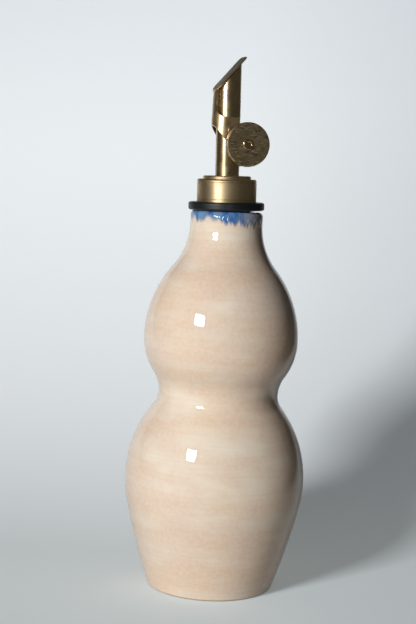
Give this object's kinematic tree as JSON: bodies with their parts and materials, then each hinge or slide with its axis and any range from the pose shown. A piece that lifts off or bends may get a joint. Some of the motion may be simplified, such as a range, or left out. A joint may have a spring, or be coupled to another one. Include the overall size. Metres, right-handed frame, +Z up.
{
  "type": "oil dispenser",
  "caption": "Double-gourd ceramic oil dispenser with a rubber-stoppered brass pourer whose weighted flap keeps the slanted spout shut.",
  "frame": {"origin": "centre of the foot, on the surface that the bottle stands on", "axes": "+Z up along the bottle, +X the way it pours (the weights' side), +Y along the flap's hinge"},
  "size_m": [0.0676, 0.0676, 0.1984],
  "materials": {
    "glaze": "glossy pale peach glaze with a cobalt blue rim",
    "rubber": "matte black",
    "collar_brass": "satin, aged",
    "spout_brass": "polished, aged",
    "weight_brass": "dull, scratched"
  },
  "bodies": {
    "bottle": {"bottle": "glaze", "stopper": "rubber", "collar": "collar_brass", "washer": "collar_brass", "spout": "spout_brass", "pin_left": "spout_brass", "pin_right": "spout_brass"},
    "flap": {"flap": "spout_brass", "axle": "weight_brass", "weight_left": "weight_brass", "weight_right": "weight_brass"}
  },
  "joints": [
    {"name": "flap_hinge", "type": "hinge", "parent": "bottle", "child": "flap", "pos_m": [-0.00113, 0, 0.17131], "axis": [0, -1, 0], "range_deg": [0, 24]}
  ]
}
